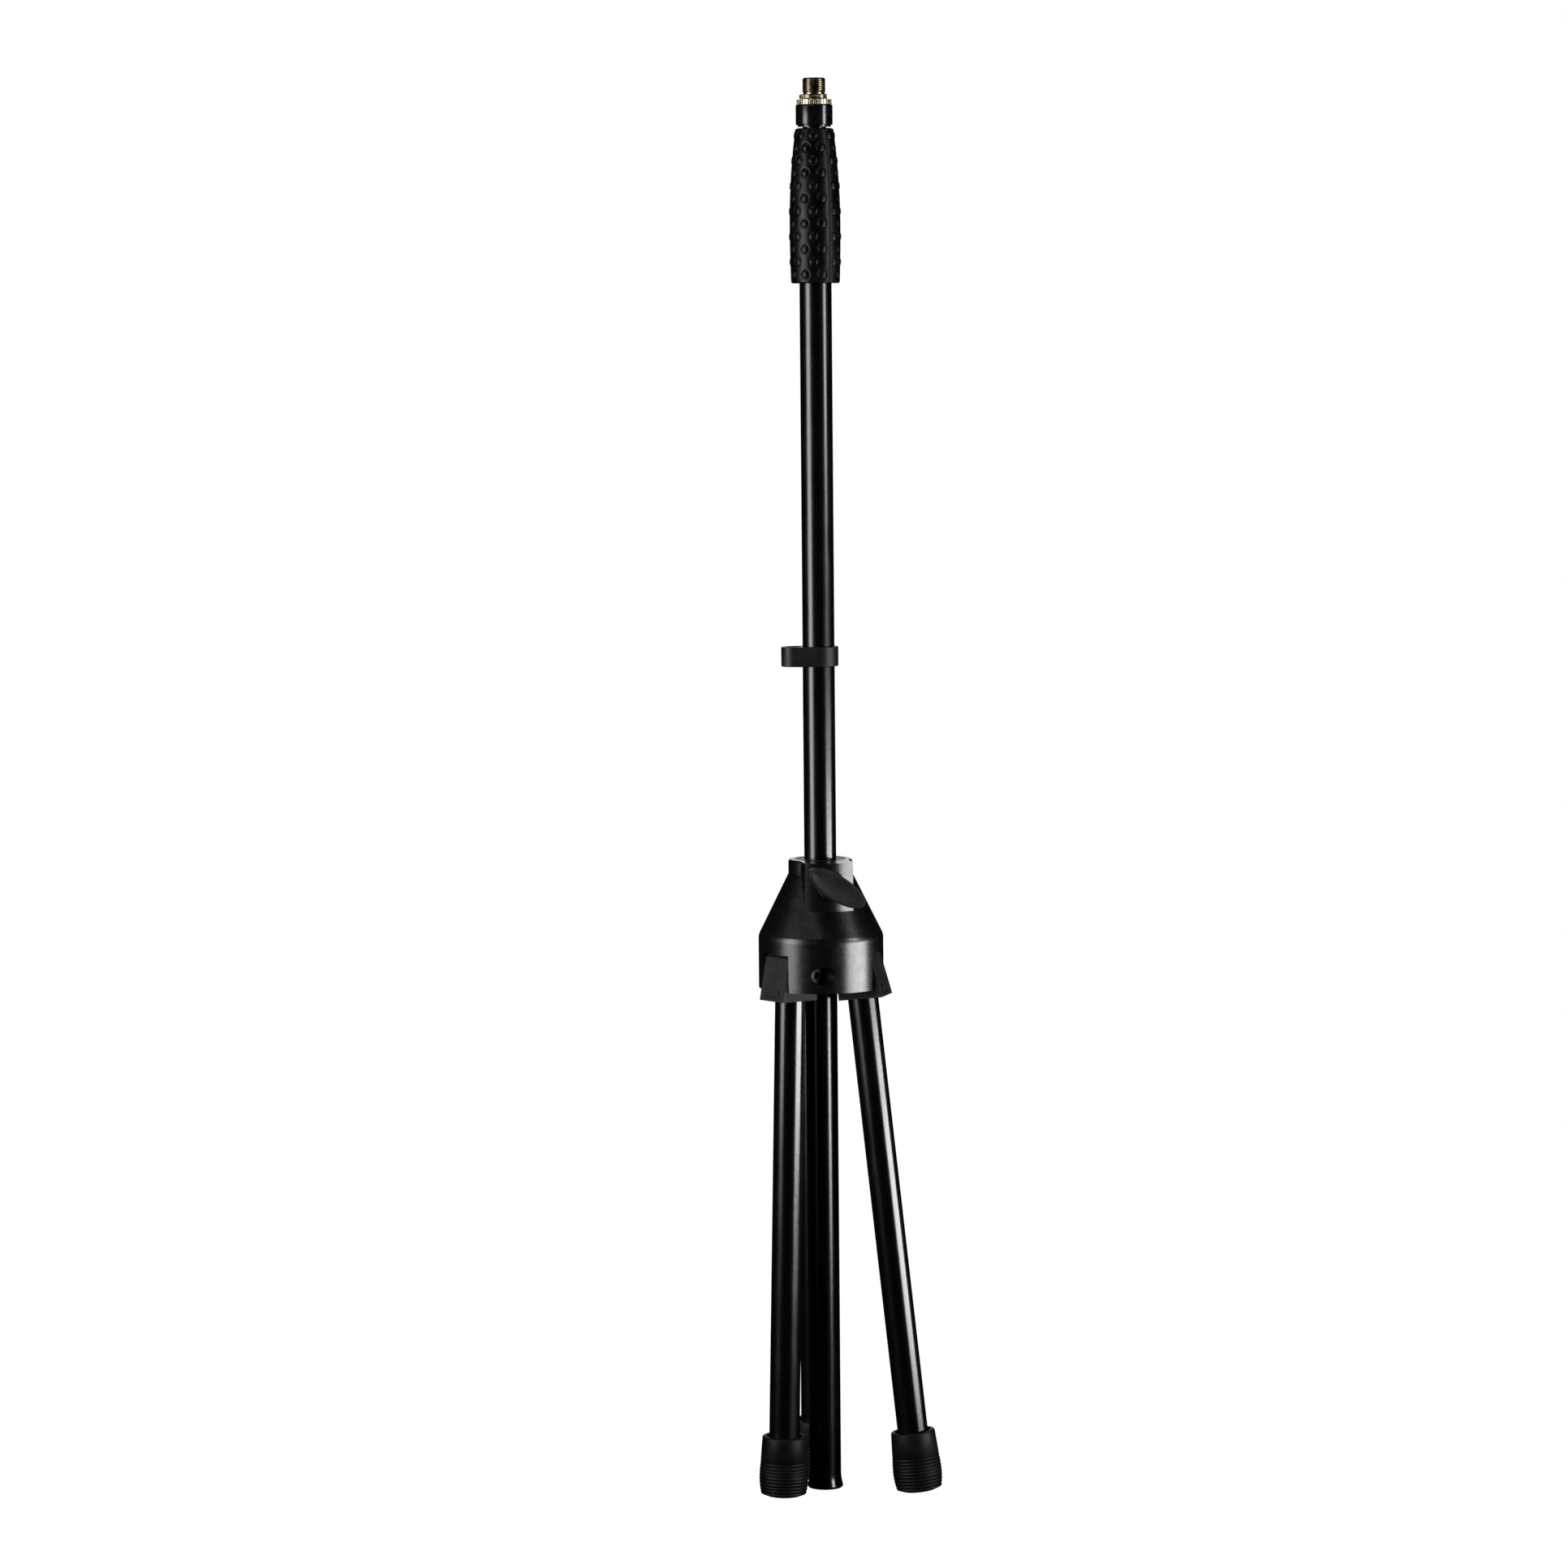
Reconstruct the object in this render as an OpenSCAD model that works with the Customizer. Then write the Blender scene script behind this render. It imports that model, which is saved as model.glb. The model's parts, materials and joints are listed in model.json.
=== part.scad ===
// Folding tripod microphone stand, shown folded. Millimetres, +Z up.
// The origin is on the mast's axis where its lower end meets the floor. The clamp knob faces -Y.

/* [Mast] */
// Outer diameter of the mast tube
mast_d = 22; // [20:0.5:24]
// Wall of the mast, rod and leg tubes
tube_wall = 1.2; // [1:0.1:1.6]
// Height of the mast tube's upper end
mast_top = 905; // [895:1:908]
// Diameter of the flare at the mast's lower end
flare_d = 24.6; // [23:0.2:24.8]
// Height of the flare
flare_h = 10; // [6:1:14]

/* [Head] */
// Diameter of the inner rod
rod_d = 16; // [14:0.5:16]
// Height of the rod's lower end inside the mast
rod_bottom = 262; // [200:1:400]
// Major diameter of the microphone thread, five eighths of an inch
thread_d = 15.875; // [15.7:0.005:16]
// Height of the top of the thread
thread_top = 972.3; // [972:0.1:980]
// Length of the thread
thread_len = 9.9; // [8:0.1:10]
// Diameter of the stud under the adapter, three eighths of an inch
stud_d = 9.525; // [9:0.025:10]
// Diameter of the adapter's flange
adapter_flange_d = 19.7; // [18:0.1:24]
// Diameter over the teeth of the serrated ring
ring_d = 24.3; // [22:0.1:26]
// Teeth on the serrated ring
ring_teeth = 30; // [20:1:40]
// Diameter of the black sleeve on the rod's head
sleeve_d = 25.2; // [24:0.1:27]
// Height of the sleeve's lower edge
sleeve_bottom = 939.2; // [939:0.1:941]
// Height of the sleeve's upper edge
sleeve_top = 954.2; // [951:0.1:954.4]

/* [Grip] */
// Height of the grip's lower edge
grip_bottom = 833.6; // [828:0.1:842]
// Height of the grip's upper edge
grip_top = 938.3; // [937:0.1:938.6]
// Height of the grip's widest place
grip_waist = 872; // [860:1:885]
// Largest diameter of the grip
grip_d = 34.7; // [33:0.1:37]
// Diameter at the grip's upper edge
grip_top_d = 25.9; // [25.6:0.1:28]
// Diameter at the grip's lower edge
grip_bottom_d = 33.2; // [32:0.1:34]

/* [Cable clip] */
// Height of the clip's lower edge
clip_z = 572.5; // [450:0.1:800]
// Height of the clip band
clip_h = 13.5; // [10:0.1:18]
// Wall of the band
clip_wall = 2.6; // [2:0.1:4]
// Distance from the mast's axis to the cable loop's centre
clip_reach = 17; // [16:0.5:22]
// Outer radius of the cable loop
loop_r = 9; // [8:0.5:11]
// Angle of the loop round the mast, from -X towards +Y
clip_turn = 0; // [-60:1:60]

/* [Hub] */
// Radius of the skirt
skirt_r = 43; // [42:0.5:46]
// Height of the skirt's lower edge
skirt_z = 351.2; // [349:0.1:353]
// Height where the cone would meet the skirt
cone_z = 387.3; // [386:0.1:390]
// Height where the cone meets the collar
collar_z = 429.8; // [427:0.1:431]
// Radius of the collar
collar_r = 22; // [21:0.5:24]
// Height of the hub's top face
hub_top = 439.6; // [437:0.1:441]
// Radius of the rounding between cone and skirt
shoulder_r = 9; // [4:1:12]
// Width of the clamp boss
boss_w = 33.5; // [30:0.5:36]
// Radius of the boss's rounded face, round the mast's axis
boss_r = 33.6; // [33:0.1:33.6]

/* [Clamp] */
// Height of the clamp screw
clamp_z = 424.9; // [423:0.1:426]
// Length of the oval knob
knob_l = 44.4; // [40:0.1:50]
// Width of the oval knob
knob_w = 17.2; // [16.4:0.1:22]
// Tilt of the knob's long axis at rest
knob_tilt = 33; // [0:1:90]
// Distance of the knob's outer face from the mast's axis
knob_face = 58; // [56:0.5:60]
// Diameter of the clamp screw
screw_d = 8; // [6:0.5:8]

/* [Legs] */
// Outer diameter of the leg tubes
leg_d = 21; // [18:0.5:21]
// Distance of each leg's pivot from the mast's axis
pivot_r = 27; // [26.5:0.1:27.5]
// Height of the pivots
pivot_z = 363.3; // [363:0.1:364]
// Outward offset of the leg tube from its pivot
leg_off = 1; // [0.5:0.1:1.5]
// Length from the pivot to the bottom of the foot
leg_len = 363.1; // [362:0.1:364]
// Width of the hinge block
block_w = 24; // [23:0.5:24]
// Width of the slot in the skirt
slot_w = 25; // [24.6:0.1:26]
// Height of the slot's upper edge
slot_top = 376.6; // [376:0.1:378]
// Diameter of the pivot screws
pivot_d = 8; // [6:0.5:8]
// Splay of the left leg at rest, from vertical
splay_left = 1.7; // [0.4:0.1:8]
// Splay of the right leg at rest
splay_right = 6.4; // [0.4:0.1:8]
// Splay of the back leg at rest
splay_back = 0.4; // [0.4:0.1:8]

/* [Feet] */
// Height of the rubber foot
foot_h = 41.5; // [38:0.5:46]
// Radius of the foot's upper rim
foot_rim_r = 14.5; // [13:0.1:15]
// Radius at the lower end of the foot's smooth cone
foot_cone_r = 16; // [15:0.5:16.5]
// Largest radius over the ribs
foot_r = 17; // [16:0.5:17]
// Radius of the foot's flat bottom
foot_sole_r = 12.5; // [11:0.5:13]
// Ribs round the foot
foot_ribs = 10; // [6:1:12]

/* [Hidden] */
$fn = 96;

fit = 0.05;    // radial clearance of a running fit
seat = 0.03;   // radial gap between pieces that are fixed together
gap = 0.4;     // clearance round pieces that pass without touching

mast_r = mast_d / 2;
rod_r = rod_d / 2;
leg_r = leg_d / 2;

// Angle of each leg round the mast, from -Y towards +X.
left_at = -60;
right_at = 60;
back_at = 180;

BLACK = [0.05, 0.05, 0.055];
PLASTIC = [0.2, 0.2, 0.21];
RUBBER = [0.09, 0.09, 0.09];
STEEL = [0.62, 0.63, 0.64];
PLATED = [0.78, 0.75, 0.62];

// A tube round the Z axis.
module pipe(r_out, r_in, z0, z1) {
    difference() {
        translate([0, 0, z0]) cylinder(h = z1 - z0, r = r_out);
        translate([0, 0, z0 - 1]) cylinder(h = z1 - z0 + 2, r = r_in);
    }
}

// A cylinder along X, from x0 to x1.
module rod_x(r, x0, x1) {
    translate([x0, 0, 0]) rotate([0, 90, 0]) cylinder(h = x1 - x0, r = r);
}

// A cylinder that runs from y = -y0 to y = -y1 at the clamp's height.
module rod_y(r, y0, y1) {
    translate([0, -y0, clamp_z]) rotate([90, 0, 0]) cylinder(h = y1 - y0, r = r);
}

// ---------------------------------------------------------------- hub

cone_tilt = atan((skirt_r - collar_r) / (collar_z - cone_z));
shoulder_z = cone_z - shoulder_r * tan(cone_tilt / 2);
throat_r = 14;                   // the bush's body, in the hub's throat
throat_wall = 4.5;
throat_z = 392;                  // lower end of the bush
bush_flange_r = 17.5;
bush_flange_h = 2.5;
shell = 4;                       // wall of the casting
hollow_z = 372.5;                // floor of the hollow in the cone
way_r = flare_d / 2 + 0.6;       // lets the flare rise to the bush
boss_z = 404.3;                  // the boss starts inside the cone's wall
swing_r = 17.4;                  // clears the hinge block as it turns
skin_y = 39.8;                   // inside of the skirt above a slot
screw_y = 15;                    // inner end of the clamp screw
pad_r = 5;
pad_travel = 3.5;                // two turns of the clamp screw

hub_outline = concat(
    [[0, skirt_z], [skirt_r, skirt_z]],
    [for (i = [0:4]) let (t = cone_tilt * i / 4)
        [skirt_r - shoulder_r * (1 - cos(t)), shoulder_z + shoulder_r * sin(t)]],
    [[collar_r, collar_z], [collar_r, hub_top - 1], [collar_r - 1, hub_top], [0, hub_top]]);

// Hollow between the throat and the cone's wall, open downwards through the slots.
hollow_r = skirt_r - shell - 1;
hollow_top = boss_z - 2;
hollow_top_r = boss_r - shell + 1;      // follows the cone's slope
hub_hollow = [[throat_r + throat_wall, hollow_z], [hollow_r, hollow_z], [hollow_r, cone_z - 2],
    [hollow_top_r, hollow_top], [throat_r + throat_wall, hollow_top]];

// Places its children at a leg's pivot, with the leg's own outward direction along -Y.
module at_pivot(angle) {
    rotate([0, 0, angle]) translate([0, -pivot_r, pivot_z]) children();
}

// What one leg needs cut out of the hub: slot, swing room, screw bores and the screw's way in.
module leg_cut(angle) {
    at_pivot(angle) {
        translate([-slot_w / 2, -skirt_r, skirt_z - pivot_z - 1])
            cube([slot_w, skirt_r + pivot_r - 10, slot_top - skirt_z + 1]);
        intersection() {
            rod_x(swing_r, -slot_w / 2, slot_w / 2);
            translate([-slot_w, pivot_r - skin_y, -20]) cube([2 * slot_w, skin_y - 10, 60]);
        }
        rod_x(pivot_d / 2 + seat, -screw_back, head_x + 1);
        rod_x(way_in_r, head_x, skirt_r + 20);
        nut_pocket();
    }
}

module hub_housing() {
    color(BLACK) difference() {
        union() {
            rotate_extrude() polygon(hub_outline);
            intersection() {
                translate([0, 0, boss_z]) cylinder(h = hub_top - boss_z, r = boss_r);
                translate([-boss_w / 2, -boss_r - 1, boss_z]) cube([boss_w, boss_r, hub_top - boss_z]);
            }
        }
        rotate_extrude() polygon(hub_hollow);
        translate([0, 0, skirt_z - 1]) cylinder(h = hub_top, r = way_r);
        translate([0, 0, throat_z]) cylinder(h = hub_top, r = throat_r + seat);
        translate([0, 0, hub_top - bush_flange_h - seat]) cylinder(h = 10, r = bush_flange_r + seat);
        // clamp slit behind the boss, and the screw's bore
        translate([-boss_w / 2 + 3, -21, hub_top - 8]) cube([boss_w - 6, 2, 10]);
        rod_y(screw_d / 2 + fit, screw_y - 5, boss_r + 10);
        rod_y(pad_r + fit, screw_y - 5, screw_y + pad_travel + gap);
        leg_cut(left_at);
        leg_cut(right_at);
        leg_cut(back_at);
    }
}

module guide_bush() {
    color(PLASTIC) difference() {
        union() {
            translate([0, 0, throat_z]) cylinder(h = hub_top - throat_z - 0.3, r = throat_r);
            translate([0, 0, hub_top - bush_flange_h]) cylinder(h = bush_flange_h - 0.3, r = bush_flange_r);
        }
        translate([0, 0, throat_z - 1]) cylinder(h = 60, r = mast_r + fit);
        rod_y(pad_r + gap, 5, 30);
    }
}

head_x = 21;        // where the screw's head bears in the access hole
way_in_r = 6.3;     // the access hole
screw_back = 22.5;  // depth of the bore on the nut's side
head_h = 4.5;
nut_x = 15.5;       // where the nut bears on the far side
nut_r = 6.6;
nut_h = 5;

module pivot_screw() {
    difference() {
        union() {
            rod_x(pivot_d / 2, -21, head_x);
            rod_x(6, head_x, head_x + head_h);
        }
        translate([head_x + 1.5, 0, 0]) rotate([0, 90, 0]) cylinder(h = 5, r = 2.9, $fn = 6);
    }
}

module pivot_nut() {
    difference() {
        translate([-nut_x - nut_h, 0, 0]) rotate([0, 90, 0]) cylinder(h = nut_h, r = nut_r, $fn = 6);
        rod_x(pivot_d / 2 + seat, -40, 0);
    }
}

module pivot_screws() {
    color(STEEL) for (a = [left_at, right_at, back_at]) at_pivot(a) pivot_screw();
}

// Hexagonal pocket for the nut, open at the skirt's lower edge.
module nut_pocket() {
    side = nut_r * cos(30) + seat;
    tip = side / cos(30);
    translate([-nut_x, 0, 0]) rotate([90, 0, -90]) linear_extrude(height = nut_h + seat)
        polygon([[-side, -30], [side, -30], [side, tip / 2], [0, tip], [-side, tip / 2]]);
}

module pivot_nuts() {
    color(STEEL) for (a = [left_at, right_at, back_at]) at_pivot(a) pivot_nut();
}

// ---------------------------------------------------------------- clamp

knob_back = 47;        // inner side of the oval head
knob_foot_r = 10;      // the neck widens to this against the boss
knob_neck_r = 7.6;
boss_gap = 0.6;
screw_tip = 53;

module pressure_pad() {
    color(PLASTIC) rod_y(pad_r, mast_r + fit, screw_y);
}

module clamp_screw() {
    color(STEEL) rod_y(screw_d / 2, screw_y, screw_tip);
}

module clamp_knob() {
    oval = [for (i = [0:47]) [knob_l / 2 * cos(i * 7.5), knob_w / 2 * sin(i * 7.5)]];
    color(PLASTIC) difference() {
        union() {
            translate([0, -boss_r - boss_gap, clamp_z]) rotate([90, 0, 0])
                cylinder(h = knob_back - boss_r - boss_gap + 1, r1 = knob_foot_r, r2 = knob_neck_r);
            translate([0, -knob_back, clamp_z]) rotate([90, 0, 0]) rotate([0, 0, -knob_tilt])
                linear_extrude(height = knob_face - knob_back) polygon(oval);
        }
        rod_y(screw_d / 2 + seat, boss_r, screw_tip + seat);
    }
}

// ---------------------------------------------------------------- legs

block_top = 12.3;
block_bottom = -19;
block_in = -12.7;       // inner face, next to the mast
block_out = 18.5;       // outer face at the bottom
tube_up = 8;            // the leg tube's upper end, above the pivot
tube_down = leg_len - 10;

// Side outline of the hinge block: first number outwards from the pivot, second up.
outer_outline = [[leg_off + seat, block_bottom], [block_out, block_bottom], [13.1, 10.5],
    [10.5, block_top], [leg_off + seat, block_top]];
inner_outline = [[leg_off - seat, block_bottom], [leg_off - seat, block_top], [-5, block_top],
    [-9.5, 9.3], [block_in, 4], [block_in, block_bottom]];

// Places its children in a leg's frame: origin at the pivot, leg along -Z, outwards along -Y.
module leg_frame(angle, splay) {
    at_pivot(angle) rotate([-splay, 0, 0]) children();
}

module block_half(outline) {
    difference() {
        rotate([0, 0, -90]) rotate([90, 0, 0])
            translate([0, 0, -block_w / 2]) linear_extrude(height = block_w) polygon(outline);
        translate([0, -leg_off, block_bottom - 1])
            cylinder(h = tube_up - block_bottom + 1.2, r = leg_r + seat);
        rod_x(pivot_d / 2 + fit, -block_w, block_w);
    }
}

// The outer half, with the small window near its lower edge.
module block_outer() {
    window_w = 14;
    window_h = 5.8;
    color(PLASTIC) difference() {
        block_half(outer_outline);
        translate([-window_w / 2, -block_out - 1, block_bottom + 2.5]) cube([window_w, 2.6, window_h]);
    }
}

module block_inner() {
    color(PLASTIC) block_half(inner_outline);
}

module leg_tube() {
    color(BLACK) difference() {
        translate([0, -leg_off, 0]) pipe(leg_r, leg_r - tube_wall, -tube_down, tube_up);
        rod_x(pivot_d / 2 + gap, -block_w, block_w);
    }
}

foot_cone_h = 24;       // height of the lower end of the smooth cone
rib_deep = 0.7;
rib_pitch = (foot_cone_h - 2.4) / foot_ribs;

// The ribbed barrel's radius at a height above the sole.
function barrel_r(h) = foot_r - (foot_r - foot_cone_r) * pow((h - 12) / 12, 2);

foot_outline = concat(
    [[0, 0], [foot_sole_r, 0]],
    [for (i = [0:foot_ribs - 1], s = [0, 1]) let (h = 2.4 + (i + 0.25 + 0.5 * s) * rib_pitch)
        [barrel_r(h) - (i == 0 ? 0.5 : 0), h - 0.3 + 0.6 * s]],
    [[foot_cone_r, foot_cone_h], [foot_rim_r, foot_h], [0, foot_h]]);

module foot() {
    color(RUBBER) translate([0, -leg_off, -leg_len]) difference() {
        rotate_extrude() polygon(foot_outline);
        for (i = [1:foot_ribs - 1]) translate([0, 0, 2.4 + i * rib_pitch])
            pipe(foot_r + 2, barrel_r(2.4 + i * rib_pitch) - rib_deep, -0.25, 0.25);
        translate([0, 0, leg_len - tube_down - seat]) cylinder(h = foot_h, r = leg_r + seat);
        translate([0, 0, foot_h - 2]) cylinder(h = 3, r = leg_r + 1.6);
    }
}

module block_outer_left() { leg_frame(left_at, splay_left) block_outer(); }
module block_inner_left() { leg_frame(left_at, splay_left) block_inner(); }
module leg_tube_left() { leg_frame(left_at, splay_left) leg_tube(); }
module foot_left() { leg_frame(left_at, splay_left) foot(); }

module block_outer_right() { leg_frame(right_at, splay_right) block_outer(); }
module block_inner_right() { leg_frame(right_at, splay_right) block_inner(); }
module leg_tube_right() { leg_frame(right_at, splay_right) leg_tube(); }
module foot_right() { leg_frame(right_at, splay_right) foot(); }

module block_outer_back() { leg_frame(back_at, splay_back) block_outer(); }
module block_inner_back() { leg_frame(back_at, splay_back) block_inner(); }
module leg_tube_back() { leg_frame(back_at, splay_back) leg_tube(); }
module foot_back() { leg_frame(back_at, splay_back) foot(); }

// ---------------------------------------------------------------- mast

mast_bore = mast_r - tube_wall;

module mast_tube() {
    flare_r = flare_d / 2;
    color(BLACK) rotate_extrude() polygon([[mast_bore, 0], [flare_r - 0.8, 0], [flare_r, 0.8],
        [flare_r - 0.2, 3], [mast_r, flare_h], [mast_r, mast_top], [mast_bore, mast_top]]);
}

module mast_plug() {
    color(PLASTIC) cylinder(h = 14, r = mast_bore - seat);
}

// ---------------------------------------------------------------- clutch and grip

clutch_r = 13;
clutch_z = 858;
collet_z = mast_top + 3.4;
collet_top = collet_z + 14;

module clutch_body() {
    color(PLASTIC) {
        pipe(clutch_r, mast_r + seat, clutch_z, mast_top + seat);
        pipe(clutch_r, rod_r + gap, mast_top + seat, collet_z - seat);
    }
}

module collet() {
    color(PLATED) difference() {
        pipe(10.4, rod_r + fit, collet_z, collet_top);
        for (a = [0:60:120]) rotate([0, 0, a]) translate([-20, -0.6, collet_z + 3]) cube([40, 1.2, 20]);
    }
}

// The grip's outer radius at a height: two shallow arcs that meet at its widest place.
function grip_r(z) = let (end_d = z > grip_waist ? grip_top_d : grip_bottom_d,
        end_z = z > grip_waist ? grip_top : grip_bottom)
    grip_d / 2 - (grip_d - end_d) / 2 * pow((z - grip_waist) / (end_z - grip_waist), 2);

core_wall = 2;       // rubber thickness over the core
grip_steps = 16;
grip_side = [for (i = [0:grip_steps]) let (z = grip_bottom + (grip_top - grip_bottom) * i / grip_steps)
    [grip_r(z), z]];

module grip_core() {
    top_in = grip_top - 12;       // the bore starts to close in over the collet here
    color(PLASTIC) rotate_extrude() polygon(concat(
        [[mast_r + gap, grip_bottom + 1]],
        [for (p = grip_side) [p[0] - core_wall - seat, min(max(p[1], grip_bottom + 1), grip_top - 0.5)]],
        [[rod_r + gap, grip_top - 0.5], [rod_r + gap, top_in + 6], [collet_grip_r, top_in],
            [collet_grip_r, collet_z + gap], [clutch_r + fit, collet_z + gap],
            [clutch_r + fit, clutch_z - 1], [mast_r + gap, clutch_z - 1]]));
}
collet_grip_r = 10.4 + gap;

module grip_rubber() {
    color(RUBBER) rotate_extrude() polygon(concat(
        grip_side,
        [for (i = [grip_steps:-1:0]) [grip_side[i][0] - core_wall, grip_side[i][1]]]));
}

// ---------------------------------------------------------------- rod and head

rod_bore = rod_r - tube_wall;
stud_r = stud_d / 2;
ring_z = sleeve_top + seat;
ring_h = 3.4;
flange_z = ring_z + ring_h + 0.5;
flange_h = 3;
thread_z = thread_top - thread_len;

module inner_rod() {
    color(STEEL) pipe(rod_r, rod_bore, rod_bottom, sleeve_top - 0.5);
}

// Plastic sleeve that guides the rod's lower end in the mast.
module rod_glide() {
    color(PLASTIC) pipe(mast_bore - fit, rod_r + seat, rod_bottom, rod_bottom + 28);
}

module head_stud() {
    color(STEEL) {
        translate([0, 0, sleeve_top - 25]) cylinder(h = 24.5, r = rod_bore - seat);
        translate([0, 0, sleeve_top - 2]) cylinder(h = thread_top - 2.3 - sleeve_top + 2, r = stud_r);
    }
}

module head_sleeve() {
    color(BLACK) rotate_extrude() polygon([[rod_r + seat, sleeve_bottom],
        [sleeve_d / 2 - 1.2, sleeve_bottom],
        [sleeve_d / 2 - 1.2, sleeve_bottom + 1.2], [sleeve_d / 2, sleeve_bottom + 1.6],
        [sleeve_d / 2, sleeve_top - 0.8], [sleeve_d / 2 - 0.8, sleeve_top], [rod_r + seat, sleeve_top]]);
}

module serrated_ring() {
    r = ring_d / 2;
    teeth = [for (i = [0:ring_teeth - 1], p = [[0, r - 0.9], [0.3, r - 0.9], [0.42, r], [0.88, r]])
        let (a = (i + p[0]) * 360 / ring_teeth) [p[1] * cos(a), p[1] * sin(a)]];
    color(PLATED) difference() {
        translate([0, 0, ring_z]) linear_extrude(height = ring_h) polygon(teeth);
        translate([0, 0, ring_z - 1]) cylinder(h = ring_h + 2, r = stud_r + seat);
    }
}

// Adapter from the stud to the microphone thread. The thread is a plain cylinder at its major diameter.
module thread_adapter() {
    flange_r = adapter_flange_d / 2;
    thread_r = thread_d / 2;
    bore = stud_r + fit;
    color(PLATED) rotate_extrude() polygon([[bore, flange_z], [flange_r - 0.4, flange_z],
        [flange_r, flange_z + 0.4], [flange_r, flange_z + flange_h - 0.4],
        [flange_r - 0.4, flange_z + flange_h], [thread_r - 0.5, flange_z + flange_h],
        [thread_r - 0.5, thread_z], [thread_r, thread_z], [thread_r, thread_top - 0.8],
        [thread_r - 0.8, thread_top], [bore, thread_top]]);
}

// ---------------------------------------------------------------- cable clip

// A band round the mast that runs out into an eye for the cable.
module cable_clip() {
    band_r = mast_r + clip_wall;
    eye_r = loop_r - clip_wall;
    // angle at which a line touches both the band and the loop
    t = acos((band_r - loop_r) / clip_reach);
    sides = [[-band_r * cos(t), -band_r * sin(t)], [-band_r * cos(t), band_r * sin(t)],
        [-clip_reach - loop_r * cos(t), loop_r * sin(t)], [-clip_reach - loop_r * cos(t), -loop_r * sin(t)]];
    color(PLASTIC) translate([0, 0, clip_z]) rotate([0, 0, -clip_turn]) difference() {
        union() {
            cylinder(h = clip_h, r = band_r);
            translate([-clip_reach, 0, 0]) cylinder(h = clip_h, r = loop_r);
            linear_extrude(height = clip_h) polygon(sides);
        }
        translate([0, 0, -1]) cylinder(h = clip_h + 2, r = mast_r + fit);
        difference() {
            translate([-clip_reach, 0, -1]) cylinder(h = clip_h + 2, r = eye_r);
            translate([0, 0, -2]) cylinder(h = clip_h + 4, r = band_r - 0.4);
        }
    }
}

hub_housing();
guide_bush();
pivot_screws();
pivot_nuts();
clamp_screw();
clamp_knob();
pressure_pad();
block_outer_left();
block_inner_left();
leg_tube_left();
foot_left();
block_outer_right();
block_inner_right();
leg_tube_right();
foot_right();
block_outer_back();
block_inner_back();
leg_tube_back();
foot_back();
mast_tube();
mast_plug();
clutch_body();
collet();
cable_clip();
grip_core();
grip_rubber();
inner_rod();
rod_glide();
head_stud();
head_sleeve();
serrated_ring();
thread_adapter();
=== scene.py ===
import json
import math

import bmesh
import bpy
from mathutils import Matrix, Vector


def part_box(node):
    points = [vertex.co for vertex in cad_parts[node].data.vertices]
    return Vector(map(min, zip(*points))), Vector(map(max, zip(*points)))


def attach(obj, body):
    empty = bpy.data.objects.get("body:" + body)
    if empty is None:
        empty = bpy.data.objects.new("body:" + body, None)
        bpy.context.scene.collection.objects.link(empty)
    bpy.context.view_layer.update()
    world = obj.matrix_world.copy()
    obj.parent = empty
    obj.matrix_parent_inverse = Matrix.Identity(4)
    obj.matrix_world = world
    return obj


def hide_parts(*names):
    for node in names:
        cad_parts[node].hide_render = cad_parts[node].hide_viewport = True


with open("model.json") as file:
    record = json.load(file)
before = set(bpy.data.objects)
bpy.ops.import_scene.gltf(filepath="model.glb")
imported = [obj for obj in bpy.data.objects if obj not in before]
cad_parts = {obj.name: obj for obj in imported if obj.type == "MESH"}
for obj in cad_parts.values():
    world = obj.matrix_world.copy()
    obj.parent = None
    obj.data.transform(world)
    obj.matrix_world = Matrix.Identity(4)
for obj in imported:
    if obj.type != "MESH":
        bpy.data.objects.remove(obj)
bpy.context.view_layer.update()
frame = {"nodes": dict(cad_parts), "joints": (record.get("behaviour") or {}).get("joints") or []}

MM = 0.001
joints = {joint["name"]: joint for joint in frame["joints"]}


# ---------------------------------------------------------------- hub casting
# The hub is one die-casting: collar, cone and skirt with three slots for the legs and a rounded boss for
# the clamp screw. It is finished in a satin black powder coat with a fine, even grain.

def new_piece(name, mesh):
    piece = bpy.data.objects.new(name, mesh)
    bpy.context.scene.collection.objects.link(piece)
    return piece


def smooth_shaded(mesh, angle):
    """Shades a mesh smooth, and keeps the edges sharper than angle (in degrees) crisp."""
    mesh.shade_smooth()
    mesh.set_sharp_from_angle(angle=math.radians(angle))


def softened_copy(node, name, edge, angle=28, merge=0.00002):
    """A copy of a CAD node with its flat faces made whole and its sharp edges rounded by edge metres."""
    bm = bmesh.new()
    bm.from_mesh(frame["nodes"][node].data)
    bmesh.ops.remove_doubles(bm, verts=bm.verts, dist=merge)
    bmesh.ops.dissolve_limit(bm, angle_limit=math.radians(0.4), verts=bm.verts, edges=bm.edges)
    mesh = bpy.data.meshes.new(name)
    bm.to_mesh(mesh)
    bm.free()
    piece = new_piece(name, mesh)
    smooth_shaded(mesh, angle)
    rounding = piece.modifiers.new("rounded edges", "BEVEL")
    rounding.width = edge
    rounding.segments = 2
    rounding.limit_method = "ANGLE"
    rounding.angle_limit = math.radians(angle)
    rounding.harden_normals = True
    flats = piece.modifiers.new("flat faces stay flat", "WEIGHTED_NORMAL")
    flats.keep_sharp = True
    finished = bpy.data.meshes.new_from_object(piece.evaluated_get(bpy.context.evaluated_depsgraph_get()))
    piece.modifiers.clear()
    piece.data = finished
    return piece


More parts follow.
